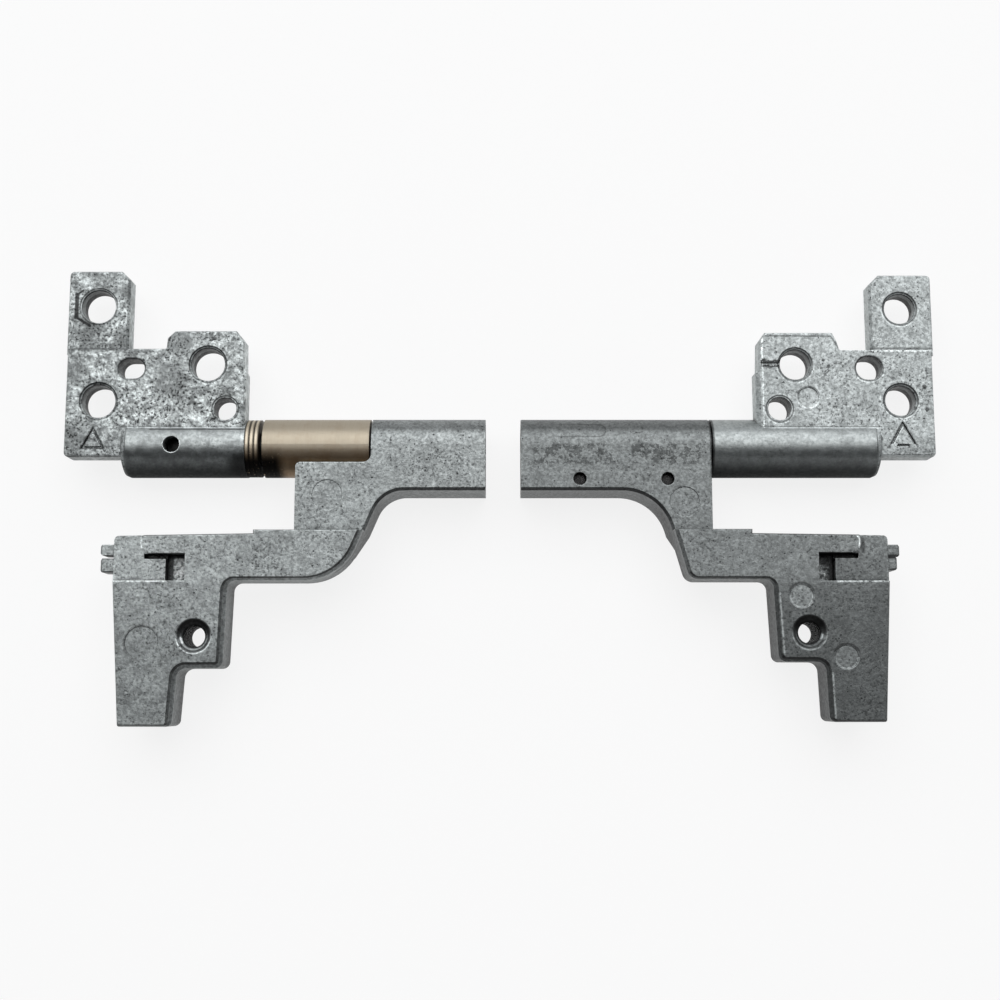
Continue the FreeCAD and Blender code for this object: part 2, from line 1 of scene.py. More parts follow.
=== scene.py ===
import bmesh
import bpy
import json
import math
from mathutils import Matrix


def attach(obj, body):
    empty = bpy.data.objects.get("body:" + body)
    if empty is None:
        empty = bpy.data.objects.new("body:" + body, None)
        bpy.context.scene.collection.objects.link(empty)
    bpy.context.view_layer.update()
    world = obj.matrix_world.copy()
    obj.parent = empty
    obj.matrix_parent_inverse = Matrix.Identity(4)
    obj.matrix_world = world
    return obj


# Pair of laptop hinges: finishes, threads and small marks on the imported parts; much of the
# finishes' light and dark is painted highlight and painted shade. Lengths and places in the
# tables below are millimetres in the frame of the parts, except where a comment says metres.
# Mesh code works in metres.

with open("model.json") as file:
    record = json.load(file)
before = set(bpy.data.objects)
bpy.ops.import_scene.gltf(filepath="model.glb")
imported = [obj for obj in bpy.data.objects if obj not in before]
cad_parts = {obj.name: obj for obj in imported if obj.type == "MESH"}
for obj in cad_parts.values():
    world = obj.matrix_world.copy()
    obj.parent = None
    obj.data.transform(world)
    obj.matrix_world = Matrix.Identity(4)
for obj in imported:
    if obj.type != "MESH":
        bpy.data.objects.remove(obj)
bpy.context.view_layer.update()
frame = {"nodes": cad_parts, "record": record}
MM = 0.001

# Places that the record holds: the hinge axis, the middles of the screw holes and, as X, Y
# and radius, the round holes through the lid plates
AXIS_Y, AXIS_Z = (c / MM for c in frame["record"]["behaviour"]["joints"][0]["pos_m"][1:])
SCREWS = {}
LID_HOLES = {"left": [], "right": []}
for mount in frame["record"]["mounts"]:
    side = mount["name"].split("_")[0]
    x, y = (c / MM for c in mount["pos_m"][:2])
    if mount["kind"] == "bore":
        LID_HOLES[side].append((x, y, mount["dims"]["r_mm"]))
    elif mount["kind"] == "threaded_hole":
        SCREWS[side] = (x, y)

# Other places on the parts
BARREL_R = 3.25
BARRELS = {"left": (-41.75, -28.05), "right": (23.35, 41.98)}
PIN_HOLE_X = -36.00
PIN_HOLE_R = 0.90
SCREW_TOP = 7.90
SCREW_BACK = 3.55

# Screw holes, from the middle: the edge of the bore, black with painted shade, the edge of the
# sink, the sink's painted bright rings as radius and half width, and the heights over which the
# sink's painted shade and the rings fade
BORE_EDGE = (1.18, 1.34)
SINK_EDGE = (1.88, 1.98)
SINK_RINGS = ((1.80, 0.20), (1.42, 0.14))
SINK_DARK_UP = (-0.7, 1.1)
RINGS_LIGHT_UP = (-0.5, 0.7)

# The painted glint in the sink: how far outwards and up, its radius and softness, and its inner
# edge
GLINT_OUT = 1.30
GLINT_UP = -0.42
GLINT_SPOT = (0.34, 0.16)
GLINT_INNER = (1.20, 1.30)

# Barrels, from the axis: the radii of the turned surface, and the heights under which it
# darkens and turns black with painted shade, loses its metal and turns rough
BARREL_SKIN = (BARREL_R - 0.08, BARREL_R + 0.04)
DARK_UNDER = (-2.2, 1.0)
BLACK_UNDER = (-3.10, -1.60)
DULL_UNDER = (-2.4, -1.0)
ROUGH_UNDER = (-2.6, -1.2)

# Oval holes through the lid plates: X, Y, half the straight part and radius
OVALS = {"left": (-40.77, 13.92, 0.32, 1.12), "right": (40.87, 13.97, 0.15, 1.30)}

# How far the round holes open at the mouth, and the Z in which their front and back start
MOUTH = 0.12
HOLE_FRONT = (5.05, 5.35)
HOLE_BACK = (4.55, 4.05)

# From a hole's edge outwards: where its wall of painted shade ends, then its line of painted
# shade and its painted highlight
WALL_END = (0.02, 0.10)
MOUTH_LINE = (0.02, 0.18)
MOUTH_RIM = (0.20, 0.34)

# Spring rings: the first one's outer face, their spacing and where the crest lies in it
RING_START = -28.00
RING_PITCH = 0.51
RING_CREST = 0.42

# M2.5 thread. THREAD_FOOT is half the ridge's foot as a share of the pitch. A turn has
# THREAD_SIDES steps, and the ridge fades at each end over THREAD_RUN_OUT of them.
THREAD_PITCH = 0.45
THREAD_ROOT_R = 1.17
THREAD_CREST_R = 1.08
THREAD_FOOT = 0.44
THREAD_CREST_HALF = 0.04
THREAD_SIDES = 40
THREAD_RUN_OUT = 14

# The burr round the pin hole: distance from the hole's edge and rise above the barrel
BURR_PROFILE = ((0.00, -0.05), (0.01, 0.015), (0.05, 0.035), (0.10, 0.025), (0.15, -0.05))
BURR_SIDES = 56

# Colours, linear
ZINC_TINT = (0.935, 1.0, 0.995)
BRONZE = (0.36, 0.318, 0.250)
BRONZE_DARK = (0.215, 0.145, 0.085)
SOOT_AND_SHADE = (0.008, 0.007, 0.006)
STEEL = (0.46, 0.46, 0.46)
SPRING_STEEL = (0.27, 0.27, 0.28)
FLOOR = (0.93, 0.93, 0.93)
WHITE = (1.0, 1.0, 1.0)
SKY = (0.93, 0.95, 1.0)

# Where a noise starts and ends its effect, for patches and for grain
PATCH = (0.36, 0.64)
GRAIN = (0.36, 0.50)

# Share of metal in the castings' skin and on their barrels
ZINC_METAL = 0.55
BARREL_METAL = 0.92

# How far one step of a seed moves the noises of each finish
ZINC_SHIFT = (17.3, 7.1, 3.7)
BRONZE_SHIFT = (11.7, 5.3, 0.0)
STEEL_SHIFT = (9.1, 4.7, 1.0)

# How far the edge wear and painted highlight, and the painted shade in corners and deep
# places, look for other surfaces
EDGE_REACH = 0.15
CORNER_REACH = 0.40
DEEP_REACH = 2.6
NODE_SAMPLES = 6

# Bronze: the Y over which the lower side's painted shade and brown and the sooty black with
# painted shade fade, and the length over which the sooty black sets in
SHADE_AND_AGE_Y = (3.6, 5.6)
SOOT_AND_SHADE_Y = (3.4, 5.3)
SOOT_AND_SHADE_FADE = 1.4

# The floor: radius and height of its rings in metres, out to a far upturned rim, then its
# drop under the parts and the share of its white that is its own
FLOOR_PROFILE = ((0.25, 0.0), (1.0, 0.0), (3.2, 0.0), (3.6, 0.04), (3.88, 0.16), (4.04, 0.36),
                 (4.08, 0.96))
FLOOR_SIDES = 96
FLOOR_DROP = 0.02
FLOOR_OWN_WHITE = 0.84

# Lamps, in metres and watts: place, size and power. All face the middle of the parts
LAMPS = {
    "key": ((-0.03, 0.33, 0.53), (0.90, 0.66), 4.0),
    "fill": ((0.15, -0.60, 0.22), (0.60, 0.30), 0.35),
}
# The sky's strength rises with the Y of the direction
SKY_RISE = {"From Min": 0.1, "From Max": 0.9, "To Min": 0.09, "To Max": 0.60}

# The photograph's camera: place and near limit in metres, pitch in degrees
CAMERA_PLACE = (0.0, -0.02206, 0.15734)
CAMERA_PITCH = 8.0
CAMERA_LENS = 50.41
CAMERA_SENSOR = 36.0
CAMERA_NEAR = 0.01

# Stains on the left lid plate: X, Y and radius
DARK_STAINS = ((-46.0, 17.9, 2.2), (-41.9, 17.6, 1.7), (-41.6, 22.8, 1.2), (-45.2, 19.9, 1.7),
               (-35.4, 16.9, 2.2), (-36.4, 12.8, 2.6), (-33.0, 15.3, 1.1), (-46.9, 13.6, 1.6),
               (-46.8, 6.3, 2.0))
LIGHT_STAINS = ((-32.4, 9.4, 1.7), (-43.2, 8.4, 1.6), (-43.8, 17.6, 0.9))

# Inner ends of the barrels: grime with painted shade and a painted highlight rim on the left
# one, and painted shade on the right one
GRIME_AND_SHADE_X = (-30.2, -27.8)
GRIME_AND_SHADE_Y = (3.4, 5.2)
LEFT_RIM_X = (-28.45, -28.12)
LEFT_RIM_Y = (5.2, 6.0)
RIGHT_END_X = (23.42, 23.62)

# Marks drawn as strokes on the fronts, most of them painted highlights and painted shade along
# edges, steps and grooves. A stroke is start, end and half width. The tone is multiplied by
# factor where the strokes' strength reaches full, and broken says how the grain breaks them up:
# from and to, then the least and the full strength.
LEFT_LID_MARKS = (
    # Half a hexagon beside the ear's hole
    {"factor": 0.12, "full": 0.7, "strokes": (
        ((-47.25, 22.45), (-47.25, 19.95), 0.40),
        ((-47.25, 22.45), (-46.60, 22.95), 0.18),
        ((-47.25, 19.85), (-45.70, 18.90), 0.25))},
    # Painted shade along the step from plate to ear
    {"factor": 0.30, "full": 0.7, "strokes": (((-48.20, 16.16), (-41.40, 16.16), 0.26),)},
    # Painted shade in the groove of the triangle
    {"factor": 0.40, "full": 0.9, "strokes": (
        ((-44.80, 7.40), (-46.12, 4.93), 0.22),
        ((-44.80, 7.40), (-43.48, 4.93), 0.22),
        ((-46.12, 4.93), (-43.48, 4.93), 0.20))},
    # Painted shade along the lower edge of the plate
    {"factor": 0.22, "full": 0.7, "strokes": (((-47.70, 4.05), (-41.80, 4.05), 0.20),)},
    # Painted highlight and painted shade on the two sides of the crease between plate and barrel
    {"factor": 1.6, "full": 0.8, "broken": (0.38, 0.50, 0.0, 1.0), "strokes": (
        ((-41.0, 7.29), (-28.1, 7.29), 0.15),)},
    {"factor": 0.40, "full": 0.8, "strokes": (((-38.5, 7.06), (-28.1, 7.06), 0.13),)},
    # Painted light in a band above the barrel
    {"factor": 1.18, "full": 0.9, "strokes": (((-40.0, 8.6), (-30.0, 8.6), 1.1),)},
)
# Painted shade in the nick beside the right tab's hole, drawn on a place that the grain has
# shaken
RIGHT_NICK = (
    {"factor": 0.14, "full": 0.6, "strokes": (
        ((28.75, 14.78), (30.85, 14.74), 0.30),
        ((29.20, 14.20), (30.85, 14.23), 0.24))},
)
NICK_SHAKE = 0.9
RIGHT_LID_MARKS = (
    # Painted highlights along the ear's step, the tab's outline and the crease at the barrel
    {"factor": 1.8, "full": 0.8, "broken": (0.36, 0.48, 0.3, 1.0), "strokes": (
        ((41.30, 15.98), (48.10, 15.98), 0.24),
        ((29.08, 7.3), (29.08, 17.5), 0.15),
        ((29.6, 7.23), (41.9, 7.23), 0.13))},
    # Painted shade along the edges beside them
    {"factor": 0.45, "full": 0.8, "strokes": (
        ((41.20, 16.30), (48.20, 16.30), 0.20),
        ((29.3, 17.66), (36.7, 17.60), 0.16),
        ((36.8, 17.5), (37.5, 16.3), 0.16))},
    # Painted shade in the groove of the triangle
    {"factor": 0.40, "full": 0.9, "strokes": (
        ((44.35, 8.00), (42.80, 5.20), 0.22),
        ((44.35, 8.00), (45.90, 5.20), 0.22),
        ((43.70, 5.30), (45.00, 5.30), 0.20))},
    # Painted shade along the lower edge of the plate
    {"factor": 0.20, "full": 0.7, "strokes": (((42.10, 4.16), (47.60, 4.16), 0.20),)},
)
# Pits on the right lid plate: X, Y, radius and softness
RIGHT_PITS = ((46.9, 11.9, 0.26, 0.12), (47.1, 9.35, 0.24, 0.11), (36.4, 14.2, 0.20, 0.11),
              (35.8, 14.9, 0.16, 0.11), (41.9, 10.2, 0.14, 0.11))

# Round marks on it, as X, Y and radius: a disc with its softness, the line round the disc and
# a ring round the corner's hole, both with their half width. Over these Y the line turns to
# painted shade upwards and to a painted highlight downwards.
RIGHT_LID_DISC = (34.05, 10.67, 1.10, 0.12)
RIGHT_LID_LINE = (34.05, 10.67, 1.20, 0.20)
RIGHT_LID_RING = (44.25, 10.32, 2.30, 0.16)
LINE_DARK_Y = (10.6, 11.3)
LINE_BRIGHT_Y = (10.4, 9.9)

LEFT_BASE_MARKS = (
    # Painted highlights along the upper and outer edges of the block
    {"factor": 1.9, "full": 0.8, "broken": GRAIN + (0.3, 1.0), "strokes": (
        ((-42.9, -9.86), (-35.9, -9.86), 0.18),
        ((-41.40, -10.0), (-40.42, -24.8), 0.15))},
    # Painted shade along the lower edge of the block
    {"factor": 0.15, "full": 0.6, "strokes": (((-40.3, -25.14), (-34.9, -25.14), 0.30),)},
    # Painted highlight on the end of the bar
    {"factor": 2.6, "full": 0.8, "strokes": (((-38.50, -6.1), (-38.58, -5.2), 0.24),)},
    # Painted shade under the lugs
    {"factor": 0.06, "full": 0.6, "strokes": (
        ((-43.2, -7.17), (-41.75, -7.17), 0.34),
        ((-43.1, -8.85), (-41.75, -8.85), 0.30))},
)
RIGHT_BASE_MARKS = (
    # Painted highlights on the upper edge and bevels of the block
    {"factor": 2.8, "full": 0.9, "broken": GRAIN + (0.3, 1.0), "strokes": (
        ((36.0, -9.86), (42.9, -9.86), 0.20),
        ((29.75, -11.2), (30.05, -17.6), 0.25),
        ((35.15, -19.6), (35.30, -24.3), 0.20))},
    # Painted highlight on the end of the bar, and the painted shade beside it
    {"factor": 2.8, "full": 0.9, "strokes": (
        ((38.10, -4.75), (38.50, -5.40), 0.18),
        ((38.50, -5.40), (38.42, -6.20), 0.18))},
    {"factor": 0.45, "full": 0.9, "strokes": (((39.00, -5.2), (39.05, -6.5), 0.42),)},
    # Painted shade along the lower edge of the block and under the lugs
    {"factor": 0.12, "full": 0.6, "strokes": (
        ((35.4, -24.64), (40.7, -24.64), 0.28),
        ((41.9, -7.08), (43.1, -7.08), 0.34),
        ((41.9, -8.60), (42.9, -8.50), 0.30))},
)

# Base castings, in Z: how painted shade darkens their flanks, the painted dark line of the front
# edge, the leg's own painted dark line and the painted light line that ends the bevel. The leg
# lies above LEG_Y.
FLANK_Z = (3.6, 7.2)
EDGE_LINE_Z = (8.20, 8.60)
LEG_LINE_Z = (6.10, 6.60)
BEVEL_LINE_Z = (7.50, 7.95)
LEG_Y = (-9.0, -8.6)

# The Y over which the blocks change their tone
LEFT_BLOCK_Y = (-19.0, -9.0)
RIGHT_BLOCK_TOP_Y = (-11.5, -8.6)
RIGHT_BLOCK_Y = (-20.0, -12.0)

# Areas of the bases: X from and to, Y from and to, softness of both
LEFT_POCKET = ((-35.30, -33.7), (-9.9, -7.2), 0.15)
RIGHT_POCKET = ((34.10, 35.50), (-9.8, -8.0), 0.2)
RIGHT_RECESS = ((36.05, 41.5), (-9.75, -6.9), 0.05)
POCKET_DEPTH = (6.5, 6.9)
LEFT_RECESS_Y = (-9.80, -5.20)
LEFT_RECESS_END = (-35.6, -35.4)
# The painted highlight on a wall in the right pocket: X, Y and Z, each from, to and softness
POCKET_WALL = ((35.95, 36.05, 0.03), (-9.6, -7.6, 0.1), (6.85, 7.25, 0.05))

# Round marks: the left block's ring of painted shade, strongest near a second place, and the
# right's bright discs
LEFT_RING = (-38.00, -16.40, 1.82, 0.22)
LEFT_RING_GAP = (-38.9, -15.4)
LEFT_RING_FADE = (1.9, 2.8)
RIGHT_DISCS = ((32.10, -11.45, 1.9), (36.70, -17.90, 1.6))

# The discs: radius and softness, then the painted highlight below and the painted shade above,
# as radius and half width, each with the heights over which it fades
DISC_SPOT = (1.25, 0.10)
DISC_LOW = (1.22, 0.20)
DISC_LOW_UP = (-0.2, 0.5)
DISC_OVER = (1.42, 0.22)
DISC_OVER_UP = (0.2, 0.9)

# Right housing: the outline of a slot by two corners, two worn patches and the dark end, painted
# shade in the gap at the barrel
HOUSING_SLOT = ((4.25, 6.19), (11.60, 7.69), 0.14)
SLOT_FADE_X = (4.0, 9.0)
WORN_Y = (3.10, 5.40)
WORN_X = ((3.6, 12.6), (14.4, 21.9))
HOUSING_FRONT = (5.0, 5.4)
HOUSING_END_X = (22.90, 23.05)
HOUSING_END_Y = (1.5, 1.8)


def shifted(pair, by):
    """Both values of a pair, moved."""
    return pair[0] + by, pair[1] + by


class Graph:
    """A material whose nodes are added by short calls. Lengths in it are millimetres."""

    def __init__(self, name):
        self.material = bpy.data.materials.new(name)
        self.material.use_nodes = True
        self.tree = self.material.node_tree
        self.tree.nodes.clear()

    def add(self, kind, inputs=None, **settings):
        node = self.tree.nodes.new("ShaderNode" + kind)
        for key, value in settings.items():
            setattr(node, key, value)
        for key, value in (inputs or {}).items():
            self.feed(node.inputs[key], value)
        return node

    def feed(self, socket, value):
        if isinstance(value, bpy.types.NodeSocket):
            self.tree.links.new(value, socket)
        else:
            socket.default_value = value

    def math(self, operation, *values, clamp=False):
        inputs = {i: value for i, value in enumerate(values)}
        return self.add("Math", inputs, operation=operation, use_clamp=clamp).outputs[0]

    def vector(self, operation, *values):
        inputs = {i: value for i, value in enumerate(values)}
        node = self.add("VectorMath", inputs, operation=operation)
        single = operation in ("LENGTH", "DISTANCE", "DOT_PRODUCT")
        return node.outputs["Value" if single else "Vector"]

    def span(self, value, low, high, out_low=0.0, out_high=1.0):
        """value from low to high, turned smoothly into out_low to out_high."""
        inputs = {"Value": value, "From Min": low, "From Max": high,
                  "To Min": out_low, "To Max": out_high}
        node = self.add("MapRange", inputs, interpolation_type="SMOOTHSTEP")
        return node.outputs["Result"]

    def times(self, strength, factor, full=1.0):
        """1 where strength is 0, and factor where it reaches full."""
        return self.span(strength, 0.0, full, 1.0, factor)

    def less(self, value):
        """One minus the value."""
        return self.math("SUBTRACT", 1.0, value)

    def scaled(self, value, factor):
        return self.math("MULTIPLY", value, factor)

    def most(self, *values):
        """The largest of several values."""
        top = values[0]
        for value in values[1:]:
            top = self.math("MAXIMUM", top, value)
        return top

    def place(self, offset=(0.0, 0.0, 0.0), stretch=(1.0, 1.0, 1.0)):
        """The point on the part in millimetres, moved and stretched."""
        point = self.add("TexCoord").outputs["Object"]
        scale = tuple(s / MM for s in stretch)
        return self.vector("ADD", self.vector("MULTIPLY", point, scale), offset)

    def noise(self, place, scale, detail=3.0, rough=0.55, twist=0.0):
        inputs = {"Vector": place, "Scale": scale, "Detail": detail, "Roughness": rough,
                  "Distortion": twist}
        return self.add("TexNoise", inputs).outputs[0]

    def mix(self, factor, a, b):
        """Colour a where factor is 0 and colour b where it is 1."""
        node = self.add("Mix", data_type="RGBA")
        self.feed(node.inputs[0], factor)
        self.feed(node.inputs[6], a)
        self.feed(node.inputs[7], b)
        return node.outputs[2]

    def tinted(self, value, tint):
        """tint times value."""
        node = self.add("VectorMath", {0: tint, "Scale": value}, operation="SCALE")
        return node.outputs["Vector"]

    def axes(self, place):
        """X, Y and Z of a place."""
        parts = self.add("SeparateXYZ", {0: place}).outputs
        return parts["X"], parts["Y"], parts["Z"]

    def between(self, value, low, high, soft):
        """1 where value lies between low and high, 0 outside."""
        above = self.span(value, low - soft, low + soft)
        return self.scaled(above, self.span(value, high - soft, high + soft, 1.0, 0.0))

    def area(self, place, across, up, soft):
        """1 inside a rectangle, as seen from the front."""
        x, y = self.axes(place)[:2]
        return self.scaled(self.between(x, *across, soft), self.between(y, *up, soft))

    def pocks(self, place, scale, radius, share):
        """Round pits, one to a cell, in a share of the cells."""
        inputs = {"Vector": place, "Scale": scale, "Randomness": 1.0}
        node = self.add("TexVoronoi", inputs)
        draw = self.add("SeparateColor", {0: node.outputs["Color"]}).outputs[0]
        chosen = self.span(draw, 1.0 - share, 1.02 - share)
        hole = self.span(node.outputs["Distance"], radius * 0.6, radius * 1.2, 1.0, 0.0)
        return self.scaled(hole, chosen)

    def hollow(self, reach, **settings):
        """1 in the open, and less where other surface lies within reach."""
        node = self.add("AmbientOcclusion", {"Distance": reach * MM}, samples=NODE_SAMPLES,
                        **settings)
        return node.outputs["AO"]

    def flat(self, place):
        """The place without its height."""
        return self.vector("MULTIPLY", place, (1.0, 1.0, 0.0))

    def flat_distance(self, place, x, y):
        """Distance from X and Y, as seen from the front."""
        return self.vector("DISTANCE", self.flat(place), (x, y, 0.0))

    def disc(self, place, x, y, radius, soft):
        """1 inside a disc, 0 outside, and between them over soft to both sides."""
        gap = self.flat_distance(place, x, y)
        return self.span(gap, radius - soft, radius + soft, 1.0, 0.0)

    def ring(self, place, x, y, radius, half):
        """1 on a circle, fading to 0 at half to both sides."""
        gap = self.math("SUBTRACT", self.flat_distance(place, x, y), radius)
        return self.span(self.math("ABSOLUTE", gap), 0.0, half, 1.0, 0.0)

    def round_core(self, place, centre, core):
        """Distance from a core, given by its centre and half size, as seen from the front."""
        away = self.vector("ABSOLUTE", self.vector("SUBTRACT", self.flat(place), centre))
        beyond = self.vector("SUBTRACT", away, core)
        return self.vector("LENGTH", self.vector("MAXIMUM", beyond, (0.0, 0.0, 0.0)))

    def stroke(self, place, start, end, half):
        """A line between two points, as seen from the front."""
        along = (end[0] - start[0], end[1] - start[1], 0.0)
        length = along[0] ** 2 + along[1] ** 2
        away = self.vector("SUBTRACT", self.flat(place), (start[0], start[1], 0.0))
        dot = self.vector("DOT_PRODUCT", away, along)
        share = self.math("DIVIDE", dot, length, clamp=True)
        gap = self.vector("DISTANCE", away, self.tinted(share, along))
        return self.span(gap, 0.0, half, 1.0, 0.0)

    def slot_line(self, place, low, high, half):
        """The outline of a slot with round ends, given by its two corners."""
        radius = (high[1] - low[1]) / 2
        centre = ((low[0] + high[0]) / 2, (low[1] + high[1]) / 2, 0.0)
        core = ((high[0] - low[0]) / 2 - radius, 0.0, 0.0)
        gap = self.math("SUBTRACT", self.round_core(place, centre, core), radius)
        return self.span(self.math("ABSOLUTE", gap), 0.0, half, 1.0, 0.0)

    def marks(self, place, grain, table):
        """A factor for each entry of a table of marks."""
        factors = []
        for mark in table:
            strength = self.most(*(self.stroke(place, *line) for line in mark["strokes"]))
            if "broken" in mark:
                strength = self.scaled(strength, self.span(grain, *mark["broken"]))
            factors.append(self.times(strength, mark["factor"], mark["full"]))
        return factors

    def finish(self, colour, metal, rough, height, depth, soft):
        """Closes the material: a metal surface with a rounded edge normal and a bump."""
        bevel = self.add("Bevel", {"Radius": soft * MM}, samples=NODE_SAMPLES)
        rounded = bevel.outputs["Normal"]
        relief = {"Strength": 1.0, "Distance": depth * MM, "Height": height, "Normal": rounded}
        bump = self.add("Bump", relief).outputs["Normal"]
        surface = {"Base Color": colour, "Metallic": metal, "Roughness": rough, "Normal": bump}
        self.close(self.add("BsdfPrincipled", surface))
        return self.material

    def close(self, shader):
        """Links the last shader to the material's output."""
        output = self.add("OutputMaterial")
        self.tree.links.new(shader.outputs[0], output.inputs["Surface"])


def cast_zinc(name, seed, tone, mottle, crisp, shades=None, rough=0.50, barrel=None, pits=0.10):
    """Grey die-cast metal: cloudy patches, crisp grain, pits, bright edges that are partly wear
    and partly painted highlight, and painted shade in corners. shades is a function that gives
    the part's own lighter and darker places, many of them painted highlight and painted shade,
    those all over and those on its front only. barrel is the X range in which the part is a
    turned barrel, smoother and darker than the skin."""
    g = Graph(name)
    here = g.place()
    moved = g.place(offset=tuple(seed * shift for shift in ZINC_SHIFT))
    cloud = g.noise(moved, 0.28, detail=4.0, rough=0.6, twist=0.4)
    blotch = g.noise(moved, 0.95, detail=5.0, rough=0.68)
    grain = g.noise(moved, 2.9, detail=3.0, rough=0.7)
    grit = g.noise(moved, 3.6, detail=1.0, rough=0.6)

    # Skin: patches, grain, dark and bright grit, pits
    value = g.scaled(g.span(cloud, *PATCH, 1.0 - 0.45 * mottle, 1.0 + 0.35 * mottle), tone)
    value = g.scaled(value, g.span(blotch, 0.38, 0.62, 1.0 - 0.80 * mottle, 1.0 + 0.45 * mottle))
    value = g.scaled(value, g.span(grain, *PATCH, 1.0 - 0.50 * crisp, 1.0 + 0.30 * crisp))
    dark_grit = g.span(grit, 0.43, 0.35, 0.0, crisp)
    spots = g.math("SUBTRACT", dark_grit, g.span(grit, 0.58, 0.66, 0.0, crisp * 0.35))
    rough_skin = g.span(g.noise(moved, 0.21, detail=2.0), 0.42, 0.56, 0.50, 1.15)
    value = g.scaled(value, g.less(g.scaled(spots, rough_skin)))
    small_pocks = g.scaled(g.pocks(moved, 2.9, 0.24, pits * 1.4), 0.8)
    pock = g.most(g.pocks(moved, 1.5, 0.17, pits), small_pocks)
    pock = g.scaled(pock, g.span(blotch, 0.62, 0.45, 0.15, 1.0))
    value = g.scaled(value, g.times(pock, 0.22))

    # Faces that don't look to the front are calmer, and a turned barrel more so
    even = g.scaled(g.span(blotch, *PATCH, 0.86, 1.08), tone)
    facing = g.span(g.axes(g.add("TexCoord").outputs["Normal"])[2], 0.35, 0.65)
    calm = g.scaled(g.math("SUBTRACT", even, value), g.span(facing, 0.0, 1.0, 0.55, 0.0))
    value = g.math("ADD", value, calm)
    if barrel:
        x, y, z = g.axes(here)
        up = g.math("SUBTRACT", y, AXIS_Y)
        out = g.math("SUBTRACT", z, AXIS_Z)
        radius = g.math("SQRT", g.math("ADD", g.scaled(up, up), g.scaled(out, out)))
        turned = g.between(radius, *BARREL_SKIN, 0.03)
        turned = g.scaled(turned, g.between(x, *barrel, 0.05))
        calm = g.scaled(g.math("SUBTRACT", even, value), g.scaled(turned, 0.72))
        value = g.math("ADD", value, calm)

    # The part's own places
    everywhere, marks = shades(g, here, blotch, grain) if shades else ((), ())
    for factor in everywhere:
        value = g.scaled(value, factor)
    mark = 1.0
    for factor in marks:
        mark = g.scaled(mark, factor)
    if marks:
        change = g.scaled(facing, g.math("SUBTRACT", mark, 1.0))
        value = g.scaled(value, g.math("ADD", 1.0, change))

    # Edges lightened, partly wear and partly painted highlight; painted shade in corners and deep
    # places
    worn = g.hollow(EDGE_REACH, inside=True, only_local=True)
    corner = g.hollow(CORNER_REACH, only_local=True)
    deep = g.hollow(DEEP_REACH, only_local=True)
    edge = g.scaled(g.span(worn, 0.92, 0.62), g.span(grain, 0.40, 0.55, 0.35, 1.0))
    value = g.scaled(value, g.math("ADD", 1.0, g.scaled(edge, 0.55)))
    value = g.scaled(value, g.span(corner, 0.32, 0.80, 0.30, 1.0))
    value = g.scaled(value, g.span(deep, 0.26, 0.72, 0.04, 1.0))

    metal = ZINC_METAL
    rough_at = g.span(grain, 0.35, 0.65, rough + 0.08, rough - 0.06)
    rough_at = g.math("SUBTRACT", rough_at, g.scaled(edge, 0.12))
    fine = g.math("ADD", g.scaled(grain, 0.40), g.scaled(grit, 0.25))
    height = g.math("ADD", g.scaled(blotch, 0.35), fine)
    height = g.math("SUBTRACT", height, g.scaled(pock, 0.50))
    if barrel:
        # The barrel is darker, and black, dull and not metallic underneath; the dark, black
        # underside is painted shade
        lower = g.span(g.math("ADD", up, g.scaled(blotch, 0.8)), *DARK_UNDER, 0.50, 1.0)
        value = g.scaled(value, g.scaled(lower, g.span(up, *BLACK_UNDER, 0.22, 1.0)))
        value = g.scaled(value, g.times(turned, 0.66))
        metal = g.span(up, *DULL_UNDER, 0.0, BARREL_METAL)
        metal = g.span(turned, 0.0, 1.0, ZINC_METAL, metal)
        smoother = g.scaled(turned, g.span(up, *ROUGH_UNDER, -0.40, 0.09))
        rough_at = g.math("SUBTRACT", rough_at, smoother)
        height = g.scaled(height, g.times(turned, 0.15))
    return g.finish(g.tinted(value, ZINC_TINT), metal, rough_at, height, depth=0.085, soft=0.16)


def hole_shades(g, here, side, bright_rim):
    """Painted shade on the walls of the plate's holes: black at the top and at the back, grey
    between. Round each mouth runs a thin dark line of painted shade, and outside its lower half a
    painted highlight bright_rim times as light."""
    spots = [(x, y, 0.0, radius, MOUTH) for x, y, radius in LID_HOLES[side]]
    spots.append(OVALS[side] + (0.0,))
    height, depth = g.axes(here)[1:]
    front = g.span(depth, *HOLE_FRONT)
    back = g.span(depth, *HOLE_BACK)
    wall = 0.0
    line = 0.0
    shine = 0.0
    for x, y, half, radius, mouth in spots:
        gap = g.round_core(here, (x, y, 0.0), (half, 0.0, 0.0))
        up = g.span(height, y - radius * 0.5, y + radius * 0.7)
        dark = g.scaled(up, g.span(front, 0.0, 1.0, 0.36, 0.66))
        dark = g.math("ADD", g.math("ADD", dark, g.scaled(back, 0.50)), 0.34)
        dark = g.math("MINIMUM", dark, 0.97)
        inside = g.span(gap, *shifted(WALL_END, radius), 1.0, 0.0)
        wall = g.most(wall, g.scaled(inside, dark))
        edge = radius + mouth
        mouth_line = g.between(gap, *shifted(MOUTH_LINE, edge), 0.05)
        line = g.most(line, g.scaled(mouth_line, g.span(up, 0.0, 1.0, 0.55, 0.85)))
        rim = g.between(gap, *shifted(MOUTH_RIM, edge), 0.06)
        shine = g.most(shine, g.scaled(rim, g.span(up, 0.0, 0.5, 1.0, 0.0)))
    return [g.less(wall)], [g.less(line), g.times(shine, bright_rim)]


def stain(g, here, ragged, x, y, radius, factor):
    """A soft patch with a ragged edge that multiplies the tone by factor."""
    patch = g.scaled(g.disc(here, x, y, radius * 0.75, radius * 0.6), ragged)
    return g.times(patch, factor)


